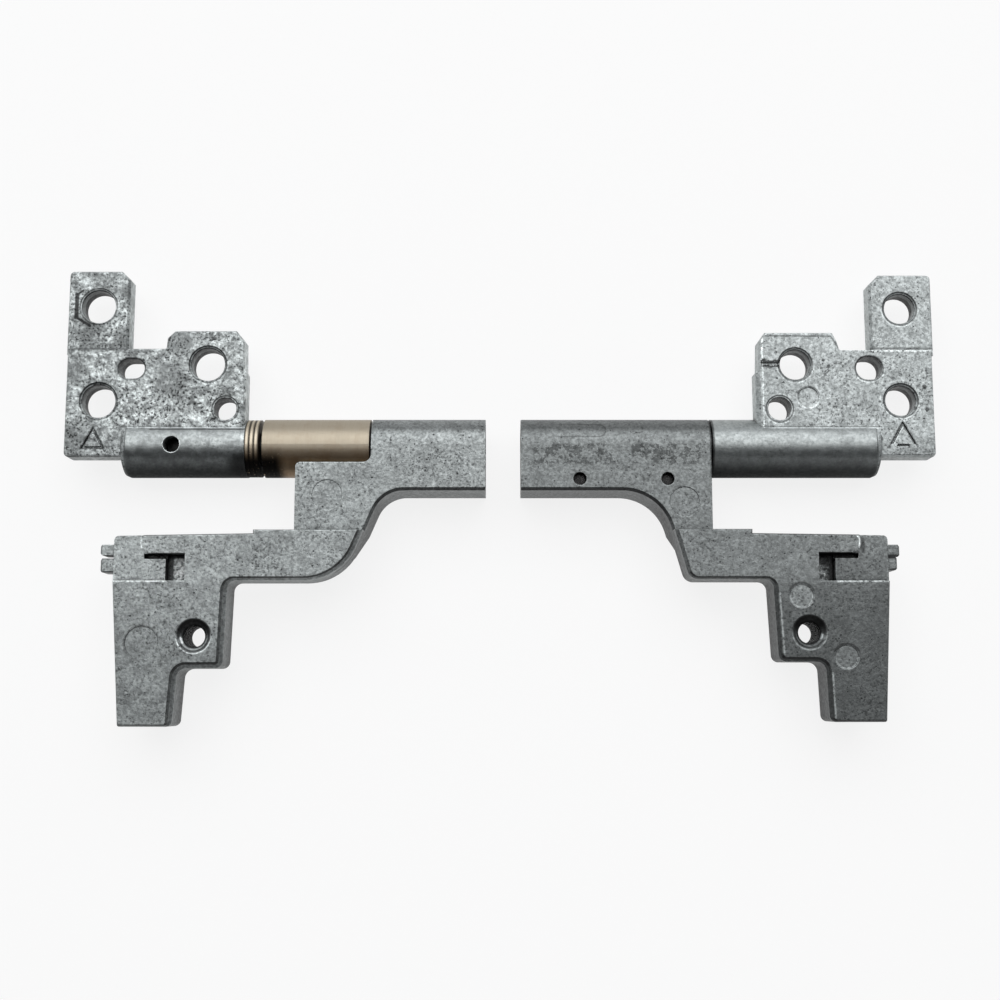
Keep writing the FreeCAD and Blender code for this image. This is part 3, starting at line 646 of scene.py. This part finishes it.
def left_lid_shades(g, here, blotch, grain):
    """Stains and lines of the left lid, most lines painted shade and highlight, with grime and
    painted shade and a painted highlight rim at the barrel's inner end.
    """
    ragged = g.span(g.math("ADD", blotch, g.scaled(grain, 0.6)), 0.62, 0.84)
    stains = [stain(g, here, ragged, *spot, 0.50) for spot in DARK_STAINS]
    stains += [stain(g, here, ragged, *spot, 1.25) for spot in LIGHT_STAINS]
    x, y = g.axes(here)[:2]
    # Grime with painted shade under the barrel's inner end, and a painted highlight on its rim
    grime_and_shade = g.span(g.math("ADD", x, g.scaled(grain, 1.6)), *GRIME_AND_SHADE_X)
    grime_and_shade = g.scaled(grime_and_shade, g.span(y, *GRIME_AND_SHADE_Y, 1.0, 0.0))
    end = g.scaled(g.between(x, *LEFT_RIM_X, 0.04), g.span(y, *LEFT_RIM_Y))
    walls, rims = hole_shades(g, here, "left", 1.1)
    everywhere = walls + [g.times(grime_and_shade, 0.12), g.times(end, 1.35)]
    return everywhere, stains + g.marks(here, grain, LEFT_LID_MARKS) + rims


def right_lid_shades(g, here, blotch, grain):
    """Lines, mostly painted highlight and shade, pits and the round mark of the right lid, whose
    line is painted shade above and painted highlight below, with painted shade at the inner end
    of the barrel.
    """
    x, y = g.axes(here)[:2]
    outline = g.ring(here, *RIGHT_LID_LINE)
    over = g.scaled(outline, g.span(y, *LINE_DARK_Y))
    under = g.scaled(outline, g.span(y, *LINE_BRIGHT_Y))
    factors = [g.times(g.disc(here, *RIGHT_LID_DISC), 1.06)]
    factors += [g.times(over, 0.42, 0.7), g.times(under, 1.6, 0.7)]
    shake = g.tinted(g.math("SUBTRACT", grain, 0.5), (0.0, NICK_SHAKE, 0.0))
    factors += g.marks(g.vector("ADD", here, shake), grain, RIGHT_NICK)
    factors.append(g.times(g.most(*(g.disc(here, *pit) for pit in RIGHT_PITS)), 0.25))
    factors += g.marks(here, grain, RIGHT_LID_MARKS)
    factors.append(g.times(g.ring(here, *RIGHT_LID_RING), 1.35, 0.9))
    walls, rims = hole_shades(g, here, "right", 1.5)
    # Painted shade at the barrel's inner end, in the gap by the housing
    return walls + [g.span(x, *RIGHT_END_X, 0.20, 1.0)], factors + rims


def screw_shades(g, here, side):
    """Painted shade and highlight in a screw hole: a black thread hole in a sink that is black
    above and bright below, with a painted glint in it.
    """
    x, y = SCREWS[side]
    height = g.axes(here)[1]
    gap = g.flat_distance(here, x, y)
    inner = g.span(gap, *BORE_EDGE, 0.03, 1.0)
    sink = g.span(height, *shifted(SINK_DARK_UP, y), 0.0, 0.88)
    sink = g.scaled(g.span(gap, *SINK_EDGE, 1.0, 0.0), sink)
    ring = g.most(*(g.ring(here, x, y, *size) for size in SINK_RINGS))
    ring = g.scaled(ring, g.span(height, *shifted(RINGS_LIGHT_UP, y), 1.0, 0.0))
    glint = g.disc(here, x + math.copysign(GLINT_OUT, x), y + GLINT_UP, *GLINT_SPOT)
    glint = g.scaled(glint, g.span(gap, *GLINT_INNER))
    return [inner], [g.less(sink), g.times(ring, 2.5, 0.8), g.times(glint, 4.0)]


def flank_shades(g, here, edge_line):
    """Painted shade on the base castings: darker down their flanks than on their faces, and on
    faces underneath. A dark line of painted shade follows the front edge, strong underneath and
    edge_line elsewhere, and a painted light line ends the bevel."""
    up, out = g.axes(g.add("TexCoord").outputs["Normal"])[1:]
    y, z = g.axes(here)[1:]
    side = g.scaled(g.span(out, 0.95, 0.80), g.span(out, -0.95, -0.80))
    under = g.span(up, -0.15, -0.45)
    across_only = g.span(g.math("ABSOLUTE", up), 0.5, 0.9, 1.0, 0.55)
    dull = g.scaled(g.scaled(side, across_only), g.span(z, *FLANK_Z, 0.80, 0.44))
    line = g.scaled(side, g.between(z, *EDGE_LINE_Z, 0.03))
    line = g.scaled(line, g.span(under, 0.0, 1.0, edge_line, 0.80))
    leg = g.scaled(g.between(z, *LEG_LINE_Z, 0.03), g.span(y, *LEG_Y))
    line = g.most(line, g.scaled(g.scaled(leg, side), g.scaled(under, 0.75)))
    light = g.scaled(side, g.between(z, *BEVEL_LINE_Z, 0.08))
    lower = g.times(g.scaled(under, side), 0.80)
    return [g.less(dull), g.less(line), lower, g.times(light, 1.35)]


def pocket_floor(g, here, area, speckle):
    """Painted light: bright speckle on the floor of a deep pocket, over its painted shade."""
    floor = g.scaled(g.area(here, *area), g.span(g.axes(here)[2], *POCKET_DEPTH, 1.0, 0.0))
    return g.math("ADD", 1.0, g.scaled(floor, speckle))


def left_base_shades(g, here, blotch, grain):
    """Lines of painted highlight and painted shade, the lighter recess, the pocket's painted
    light and the round mark of painted shade on the left base, whose block darkens downwards.
    """
    x, y = g.axes(here)[:2]
    # Painted shade round the edge of the recessed round mark
    ring = g.ring(here, *LEFT_RING)
    gap = g.flat_distance(here, *LEFT_RING_GAP)
    ring = g.scaled(ring, g.span(gap, *LEFT_RING_FADE, 1.0, 0.45))
    recess = g.scaled(g.between(y, *LEFT_RECESS_Y, 0.05), g.span(x, *LEFT_RECESS_END, 1.0, 0.0))
    speckle = g.span(g.noise(here, 2.4, detail=2.0), 0.42, 0.56, 1.5, 9.0)
    factors = [g.times(ring, 0.60, 0.9), g.times(recess, 1.18)]
    factors += g.marks(here, grain, LEFT_BASE_MARKS)
    factors.append(pocket_floor(g, here, LEFT_POCKET, speckle))
    block = g.span(y, *LEFT_BLOCK_Y, 0.80, 1.0)
    holes, rims = screw_shades(g, here, "left")
    return [block] + flank_shades(g, here, 0.45) + holes, factors + rims


def right_base_shades(g, here, blotch, grain):
    """Lines of painted highlight and shade, discs, pocket with painted light, and worn housing
    with painted shade at its end, of the right base, whose block is dark.
    """
    x, y, z = g.axes(here)
    factors = []
    # Bright discs, each with a painted highlight below and painted shade above
    for disc_x, disc_y, bright in RIGHT_DISCS:
        factors.append(g.times(g.disc(here, disc_x, disc_y, *DISC_SPOT), bright))
        low = g.ring(here, disc_x, disc_y, *DISC_LOW)
        low = g.scaled(low, g.span(y, *shifted(DISC_LOW_UP, disc_y), 1.0, 0.0))
        over = g.ring(here, disc_x, disc_y, *DISC_OVER)
        over = g.scaled(over, g.span(y, *shifted(DISC_OVER_UP, disc_y)))
        factors += [g.times(low, 1.9, 0.8), g.times(over, 0.45, 0.8)]

    front = g.span(z, *HOUSING_FRONT)
    slot = g.scaled(g.slot_line(here, *HOUSING_SLOT), g.span(x, *SLOT_FADE_X, 0.2, 1.0))
    factors.append(g.times(g.scaled(slot, front), 0.62, 0.9))
    worn = g.span(g.noise(here, 1.3, detail=3.0, rough=0.7), 0.49, 0.55)
    worn = g.scaled(g.between(y, *WORN_Y, 0.30), worn)
    worn = g.scaled(worn, g.most(*(g.between(x, *reach, 0.2) for reach in WORN_X)))
    factors.append(g.times(g.scaled(worn, front), 0.46))
    # Painted shade in the gap between the housing's end and the barrel
    housing_end = g.scaled(g.span(x, *HOUSING_END_X), g.span(y, *HOUSING_END_Y))
    factors.append(g.times(housing_end, 0.35))

    factors += g.marks(here, grain, RIGHT_BASE_MARKS)
    factors.append(g.times(g.area(here, *RIGHT_RECESS), 0.84))
    factors.append(pocket_floor(g, here, RIGHT_POCKET, g.span(grain, 0.40, 0.58, 0.8, 5.0)))
    # Painted highlight on a wall in the right pocket
    wall = 1.0
    for axis, reach in zip((x, y, z), POCKET_WALL):
        wall = g.scaled(wall, g.between(axis, *reach))
    pocket = g.math("ADD", 1.0, g.scaled(wall, 14.0))
    block = [g.span(y, *RIGHT_BLOCK_TOP_Y, 0.52, 0.88), g.span(y, *RIGHT_BLOCK_Y, 0.85, 1.0)]
    holes, rims = screw_shades(g, here, "right")
    return [pocket] + block + flank_shades(g, here, 0.08) + holes, factors + rims


def bronze(name, seed, soot_and_shade_end, ridges=False):
    """Satin bronze with fine turning marks, a lower side darker with painted shade and brown,
    aged patches, and sooty black with painted shade up to soot_and_shade_end.
    """
    g = Graph(name)
    here = g.place()
    moved = g.place(offset=tuple(seed * shift for shift in BRONZE_SHIFT))
    turned = g.noise(g.place(stretch=(9.0, 0.5, 0.5)), 1.2, detail=3.0, rough=0.6)
    blotch = g.noise(moved, 0.9, detail=5.0, rough=0.65)
    grain = g.noise(moved, 3.6, detail=2.0, rough=0.6)
    x, y = g.axes(here)[:2]
    shade_and_age = g.span(y, *SHADE_AND_AGE_Y, 0.90, 0.0)
    shade_and_age = g.math("ADD", shade_and_age, g.span(blotch, 0.40, 0.68, -0.06, 0.12), clamp=True)
    colour = g.mix(shade_and_age, (*BRONZE, 1.0), (*BRONZE_DARK, 1.0))
    near = g.span(x, soot_and_shade_end - SOOT_AND_SHADE_FADE, soot_and_shade_end, 1.0, 0.0)
    low = g.span(y, *SOOT_AND_SHADE_Y, 1.0, 0.0)
    soot_and_shade = g.scaled(g.scaled(near, low), g.span(g.math("ADD", blotch, grain), 0.58, 0.86))
    # Rings: a painted highlight on each crest and painted shade between them
    if ridges:
        turn = g.math("DIVIDE", g.math("SUBTRACT", x, RING_START), RING_PITCH)
        ridge = g.math("SUBTRACT", g.math("FRACT", turn), RING_CREST)
        ridge = g.math("ABSOLUTE", ridge)
        colour = g.tinted(g.span(ridge, 0.06, 0.40, 1.55, 0.40), colour)
    colour = g.mix(soot_and_shade, colour, (*SOOT_AND_SHADE, 1.0))
    rough = g.math("ADD", g.span(turned, 0.3, 0.7, 0.42, 0.52), g.scaled(soot_and_shade, 0.30))
    height = g.math("ADD", g.scaled(turned, 0.7), g.scaled(grain, 0.3))
    return g.finish(colour, 0.95, rough, height, depth=0.012, soft=0.10)


def turned_steel(name, seed, tint, rough):
    """Steel turned on a lathe about the hinge axis: fine rings round it and dull patches,
    darkened by painted shade in deep places.
    """
    g = Graph(name)
    moved = g.place(offset=tuple(seed * shift for shift in STEEL_SHIFT))
    lathe = g.place(offset=(seed, 0.0, 0.0), stretch=(14.0, 0.6, 0.6))
    turned = g.noise(lathe, 1.3, detail=3.0, rough=0.6)
    blotch = g.noise(moved, 1.4, detail=4.0, rough=0.6)
    # Painted shade darkens the steel in deep places, such as pins in their holes
    deep = g.hollow(DEEP_REACH)
    value = g.scaled(g.span(blotch, 0.35, 0.65, 0.75, 1.12), g.span(turned, 0.3, 0.7, 0.85, 1.10))
    colour = g.tinted(g.scaled(value, g.span(deep, 0.30, 0.85, 0.03, 1.0)), tint)
    rough_at = g.span(turned, 0.3, 0.7, rough - 0.05, rough + 0.08)
    return g.finish(colour, 1.0, rough_at, turned, depth=0.008, soft=0.05)


def paint_floor():
    """Plain pale floor: part of its white is its own, so that a soft shadow stays on it."""
    g = Graph("floor_paper")
    rays = g.add("LightPath").outputs
    shown = g.most(rays["Is Glossy Ray"], rays["Is Transmission Ray"], rays["Is Camera Ray"])
    fibre = g.noise(g.place(), 0.9, detail=2.0)
    colour = g.tinted(g.span(fibre, 0.3, 0.7, 0.985, 1.0), FLOOR)
    matt = g.add("BsdfDiffuse", {"Color": colour})
    white = g.add("Emission", {"Color": (*WHITE, 1.0), "Strength": 1.0})
    mixed = g.add("MixShader", {0: g.scaled(shown, FLOOR_OWN_WHITE)})
    g.tree.links.new(matt.outputs[0], mixed.inputs[1])
    g.tree.links.new(white.outputs[0], mixed.inputs[2])
    g.close(mixed)
    return g.material


def circle(sides):
    """Angles of evenly spaced points round a circle."""
    return [2 * math.pi * i / sides for i in range(sides)]


def skin(mesh, lower, upper):
    """Quads between two closed rings of vertices."""
    count = len(lower)
    for i in range(count):
        j = (i + 1) % count
        mesh.faces.new((lower[i], lower[j], upper[j], upper[i]))


def new_piece(name, mesh, material, body):
    """Turns mesh code into a piece that rides on a body."""
    data = bpy.data.meshes.new(name)
    bmesh.ops.recalc_face_normals(mesh, faces=mesh.faces[:])
    mesh.to_mesh(data)
    mesh.free()
    for face in data.polygons:
        face.use_smooth = True
    data.materials.append(material)
    piece = bpy.data.objects.new(name, data)
    bpy.context.scene.collection.objects.link(piece)
    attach(piece, body)


def loft(sections, closed):
    """Joins equal rings of points, in millimetres, with quads."""
    mesh = bmesh.new()
    rings = [[mesh.verts.new([c * MM for c in p]) for p in ring] for ring in sections]
    for lower, upper in zip(rings, rings[1:]):
        skin(mesh, lower, upper)
    if closed:
        skin(mesh, rings[-1], rings[0])
    else:
        mesh.faces.new(rings[0])
        mesh.faces.new(rings[-1])
    return mesh


def thread(name, x, y, material):
    """The ridge of an M2.5 thread, rising out of the wall of its hole and fading at both ends."""
    half = THREAD_PITCH * THREAD_FOOT
    low = SCREW_BACK + half
    turns = (SCREW_TOP - SCREW_BACK - 2 * half) / THREAD_PITCH
    steps = int(turns * THREAD_SIDES)
    sections = []
    for i in range(steps + 1):
        turn = 2 * math.pi * i / THREAD_SIDES
        z = low + THREAD_PITCH * i / THREAD_SIDES
        fade = min(1.0, (i + 1) / THREAD_RUN_OUT, (steps - i + 1) / THREAD_RUN_OUT)
        crest = THREAD_ROOT_R - (THREAD_ROOT_R - THREAD_CREST_R) * fade
        profile = ((THREAD_ROOT_R, z - half), (crest, z - THREAD_CREST_HALF),
                   (crest, z + THREAD_CREST_HALF), (THREAD_ROOT_R, z + half))
        across, up = math.cos(turn), math.sin(turn)
        sections.append([(x + r * across, y + r * up, h) for r, h in profile])
    new_piece(name, loft(sections, closed=False), material, "bases")


def pin_hole_rim(name, material):
    """The raised bright burr round the pin hole, following the round of the barrel."""
    sections = []
    for turn in circle(BURR_SIDES):
        section = []
        for r, rise in BURR_PROFILE:
            dx = (PIN_HOLE_R + r) * math.cos(turn)
            dy = (PIN_HOLE_R + r) * math.sin(turn)
            top = AXIS_Z + math.sqrt(BARREL_R ** 2 - dy ** 2)
            section.append((PIN_HOLE_X + dx, AXIS_Y + dy, top + rise))
        sections.append(section)
    new_piece(name, loft(sections, closed=True), material, "left_lid")


def make_floor():
    """A round floor with a far upturned rim, which a low view meets instead of the sky."""
    mesh = bmesh.new()
    rings = [[mesh.verts.new((radius * math.cos(t), radius * math.sin(t), rise))
              for t in circle(FLOOR_SIDES)] for radius, rise in FLOOR_PROFILE]
    mesh.faces.new(rings[0])
    for inner, outer in zip(rings, rings[1:]):
        skin(mesh, outer, inner)
    data = bpy.data.meshes.new("floor")
    mesh.to_mesh(data)
    mesh.free()
    data.materials.append(paint_floor())
    floor = bpy.data.objects.new("floor", data)
    floor.location.z = -FLOOR_DROP * MM
    bpy.context.scene.collection.objects.link(floor)


def lamp(name, place, size, power):
    """A soft square lamp that faces the middle of the parts."""
    data = bpy.data.lights.new(name, "AREA")
    data.shape = "RECTANGLE"
    data.size, data.size_y = size
    data.energy = power
    lamp_object = bpy.data.objects.new(name, data)
    bpy.context.scene.collection.objects.link(lamp_object)
    lamp_object.location = place
    pitch = math.acos(place[2] / math.hypot(*place))
    heading = math.atan2(-place[1], -place[0]) - math.pi / 2
    lamp_object.rotation_euler = (pitch, 0.0, heading)


def make_sky():
    """A dim studio that is lighter towards the back of the table."""
    world = bpy.data.worlds.new("studio")
    bpy.context.scene.world = world
    world.use_nodes = True
    sky = world.node_tree
    coordinates = sky.nodes.new("ShaderNodeTexCoord")
    direction = sky.nodes.new("ShaderNodeSeparateXYZ")
    glow = sky.nodes.new("ShaderNodeMapRange")
    background = sky.nodes["Background"]
    for key, value in SKY_RISE.items():
        glow.inputs[key].default_value = value
    sky.links.new(coordinates.outputs["Generated"], direction.inputs[0])
    sky.links.new(direction.outputs["Y"], glow.inputs["Value"])
    sky.links.new(glow.outputs["Result"], background.inputs["Strength"])
    background.inputs["Color"].default_value = (*SKY, 1.0)


def make_camera():
    """The photograph's camera."""
    data = bpy.data.cameras.new("camera")
    data.sensor_width = CAMERA_SENSOR
    data.lens = CAMERA_LENS
    data.clip_start = CAMERA_NEAR
    camera = bpy.data.objects.new("camera", data)
    camera.location = CAMERA_PLACE
    camera.rotation_euler = (math.radians(CAMERA_PITCH), 0.0, 0.0)
    bpy.context.scene.collection.objects.link(camera)
    bpy.context.scene.camera = camera


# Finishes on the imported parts. A casting has name, seed, tone, mottle and crispness.
finishes = {
    "left_lid_bracket": cast_zinc("zinc_left_lid", 1, 0.50, 0.58, 0.75, left_lid_shades,
                                  barrel=BARRELS["left"], pits=0.34),
    "right_lid_bracket": cast_zinc("zinc_right_lid", 2, 0.53, 0.20, 0.52, right_lid_shades,
                                   barrel=BARRELS["right"], pits=0.20),
    "left_base_bracket": cast_zinc("zinc_left_base", 3, 0.385, 0.24, 0.46, left_base_shades,
                                   pits=0.20),
    "right_base_bracket": cast_zinc("zinc_right_base", 4, 0.300, 0.15, 0.40, right_base_shades,
                                    pits=0.14),
    "left_friction_sleeve": bronze("bronze_sleeve", 1, -23.3),
}
ring_bronze = bronze("bronze_rings", 2, -24.5, ridges=True)
steel = turned_steel("turned_steel", 1, STEEL, 0.30)
clip_steel = turned_steel("clip_steel", 2, SPRING_STEEL, 0.34)
for name, node in frame["nodes"].items():
    if name in finishes:
        finish = finishes[name]
    elif "ring" in name:
        finish = ring_bronze
    elif "clip" in name or "shim" in name:
        finish = clip_steel
    else:
        finish = steel
    for slot in node.material_slots:
        slot.material = finish

# Pieces added to them
bright_zinc = cast_zinc("zinc_cut", 5, 0.62, 0.20, 0.20, rough=0.30)
# The thread is nearly black, as painted shade inside the screw hole
thread_zinc = cast_zinc("zinc_thread", 6, 0.03, 0.30, 0.50, rough=0.34)
for side, (x, y) in SCREWS.items():
    thread(side + "_screw_thread", x, y, thread_zinc)
pin_hole_rim("left_pin_hole_rim", bright_zinc)

# Floor, light and camera
make_floor()
for name, (place, size, power) in LAMPS.items():
    lamp(name, place, size, power)
make_sky()
make_camera()
bpy.context.scene.view_settings.view_transform = "Standard"
